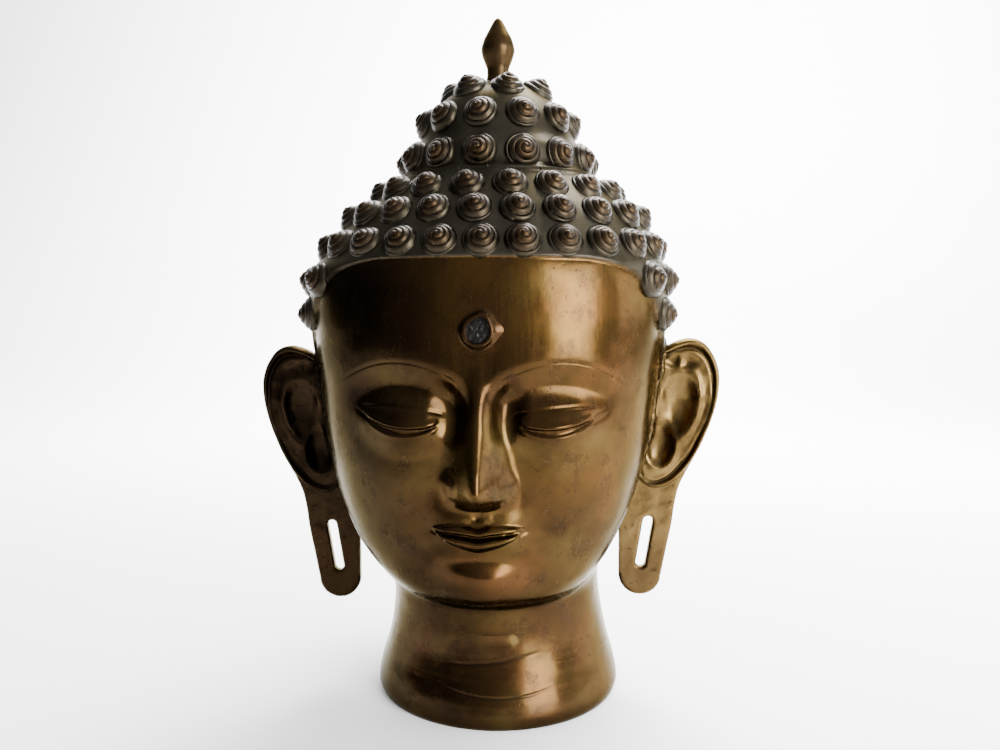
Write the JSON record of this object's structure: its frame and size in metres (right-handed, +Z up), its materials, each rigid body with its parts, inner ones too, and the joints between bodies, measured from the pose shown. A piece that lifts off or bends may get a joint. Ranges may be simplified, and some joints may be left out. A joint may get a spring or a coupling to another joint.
{
  "type": "bronze Buddha head",
  "caption": "Cast bronze Buddha head on its own flared neck, with snail-shell curls, a bud finial and long slotted ear lobes.",
  "frame": {"origin": "centre of the flat underside of the neck, which the head stands on", "axes": "+Z up, the face looks along -Y, +X to the viewer's right"},
  "size_m": [0.2762, 0.2402, 0.4],
  "materials": {
    "bronze": "brown patinated bronze, polished on the face and dull in the hair",
    "ear_bronze": "brown bronze rubbed to an olive brass tone"
  },
  "bodies": {
    "root": {"head": "bronze", "ear_right": "ear_bronze", "ear_left": "ear_bronze", "finial": "bronze"}
  },
  "joints": []
}
